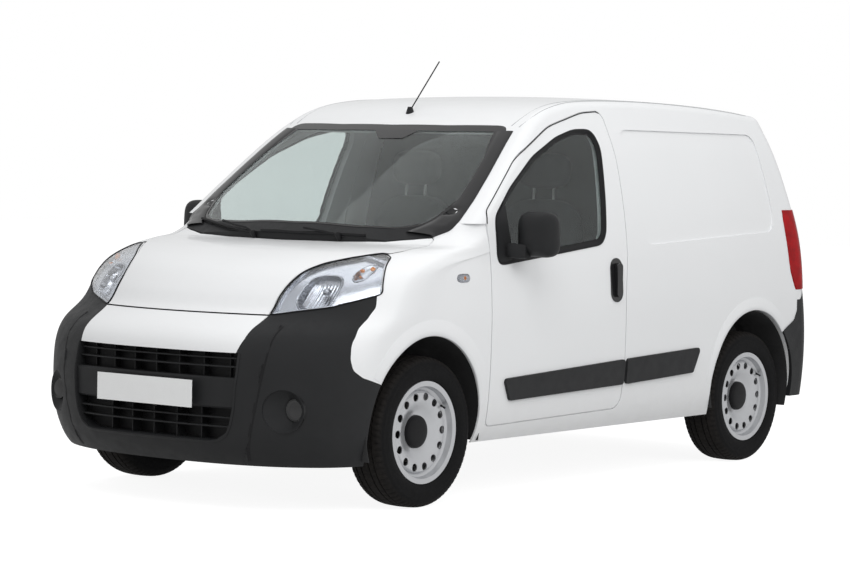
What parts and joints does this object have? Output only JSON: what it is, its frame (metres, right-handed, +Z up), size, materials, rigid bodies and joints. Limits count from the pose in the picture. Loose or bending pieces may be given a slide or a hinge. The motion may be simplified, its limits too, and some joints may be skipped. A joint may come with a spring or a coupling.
{
  "type": "panel van",
  "caption": "Small panel van with a hollow cab and load space, hinged front and rear doors and bonnet, steered front wheels and free-turning wheels.",
  "frame": {"origin": "on the ground, at the middle of the overall length and width", "axes": "+Z up, the van faces -Y, its left side is +X"},
  "size_m": [2.1136, 3.864, 1.8679],
  "materials": {
    "white_paint": "gloss",
    "black_plastic": "matte",
    "black_gloss": "gloss",
    "glass": "gloss",
    "lamp_lens": "gloss",
    "lamp_reflector": "gloss",
    "red_lens": "gloss",
    "plate": "gloss",
    "wheel_paint": "satin",
    "tyre": "matte",
    "cast_metal": "satin",
    "bare_metal": "satin",
    "underbody": "satin",
    "seat_cloth": "woven",
    "dash_plastic": "matte"
  },
  "bodies": {
    "body": {"aerial": "black_plastic", "body_side_left": "white_paint", "body_side_right": "white_paint", "bulkhead": "underbody", "dashboard": "dash_plastic", "engine": "cast_metal", "exhaust": "bare_metal", "floor_pan": "underbody", "front_bumper": "black_plastic", "front_frame": "underbody", "front_struts": "bare_metal", "front_subframe": "cast_metal", "front_wing_left": "white_paint", "front_wing_right": "white_paint", "fuel_tank": "dash_plastic", "grille": "black_plastic", "headlamp_housings": "lamp_reflector", "headlamp_lenses": "lamp_lens", "nose_strip": "white_paint", "number_plate": "plate", "partition": "underbody", "radiator": "dash_plastic", "rear_axle": "cast_metal", "rear_bumper": "black_plastic", "roof": "white_paint", "scuttle": "black_plastic", "seats": "seat_cloth", "side_mouldings": "black_plastic", "tail_lamps": "red_lens", "windscreen": "glass", "wipers": "black_plastic"},
    "front_door_left": {"front_door_left": "white_paint", "door_glass_left": "glass", "door_moulding_left": "black_plastic", "door_handle_left": "black_gloss", "mirror_left": "black_plastic"},
    "front_door_right": {"front_door_right": "white_paint", "door_glass_right": "glass", "door_moulding_right": "black_plastic", "door_handle_right": "black_gloss", "mirror_right": "black_plastic"},
    "rear_door_left": {"rear_door_left": "white_paint", "rear_glass_left": "glass"},
    "rear_door_right": {"rear_door_right": "white_paint", "rear_glass_right": "glass"},
    "bonnet": {"bonnet": "white_paint"},
    "steering_wheel": {"steering_wheel": "dash_plastic"},
    "knuckle_left": {"knuckle_left": "cast_metal"},
    "knuckle_right": {"knuckle_right": "cast_metal"},
    "wheel_front_left": {"wheel_front_left": "wheel_paint", "tyre_front_left": "tyre"},
    "wheel_front_right": {"wheel_front_right": "wheel_paint", "tyre_front_right": "tyre"},
    "wheel_rear_left": {"wheel_rear_left": "wheel_paint", "tyre_rear_left": "tyre"},
    "wheel_rear_right": {"wheel_rear_right": "wheel_paint", "tyre_rear_right": "tyre"}
  },
  "joints": [
    {"name": "front_door_left_hinge", "type": "hinge", "parent": "body", "child": "front_door_left", "pos_m": [0.858, -0.735, 0.7], "axis": [0, 0, -1], "range_deg": [0, 68]},
    {"name": "front_door_right_hinge", "type": "hinge", "parent": "body", "child": "front_door_right", "pos_m": [-0.858, -0.735, 0.7], "axis": [0, 0, 1], "range_deg": [0, 68]},
    {"name": "rear_door_left_hinge", "type": "hinge", "parent": "body", "child": "rear_door_left", "pos_m": [0.705, 1.937, 0.75], "axis": [0, 0.1297, -0.9916], "range_deg": [0, 178]},
    {"name": "rear_door_right_hinge", "type": "hinge", "parent": "body", "child": "rear_door_right", "pos_m": [-0.705, 1.937, 0.75], "axis": [0, -0.1297, 0.9916], "range_deg": [0, 178]},
    {"name": "bonnet_hinge", "type": "hinge", "parent": "body", "child": "bonnet", "pos_m": [0, -0.955, 1.09], "axis": [-1, 0, 0], "range_deg": [0, 55]},
    {"name": "steering_wheel_turn", "type": "hinge", "parent": "body", "child": "steering_wheel", "pos_m": [0.37, -0.352, 1.003], "axis": [0, 0.903, 0.4297], "range_deg": [-540, 540]},
    {"name": "steer_left", "type": "hinge", "parent": "body", "child": "knuckle_left", "pos_m": [0.655, -1.131, 0.311], "axis": [0, 0, 1], "range_deg": [-34, 34]},
    {"name": "steer_right", "type": "hinge", "parent": "body", "child": "knuckle_right", "pos_m": [-0.655, -1.131, 0.311], "axis": [0, 0, 1], "range_deg": [-34, 34]},
    {"name": "wheel_front_left_spin", "type": "hinge", "parent": "knuckle_left", "child": "wheel_front_left", "pos_m": [0.7345, -1.131, 0.311], "axis": [1, 0, 0], "continuous": true},
    {"name": "wheel_front_right_spin", "type": "hinge", "parent": "knuckle_right", "child": "wheel_front_right", "pos_m": [-0.7345, -1.131, 0.311], "axis": [1, 0, 0], "continuous": true},
    {"name": "wheel_rear_left_spin", "type": "hinge", "parent": "body", "child": "wheel_rear_left", "pos_m": [0.7345, 1.382, 0.311], "axis": [1, 0, 0], "continuous": true},
    {"name": "wheel_rear_right_spin", "type": "hinge", "parent": "body", "child": "wheel_rear_right", "pos_m": [-0.7345, 1.382, 0.311], "axis": [1, 0, 0], "continuous": true}
  ],
  "couplings": [
    {"joint": "steer_left", "follows": "steering_wheel_turn", "ratio": 0.062963},
    {"joint": "steer_right", "follows": "steering_wheel_turn", "ratio": 0.062963}
  ]
}
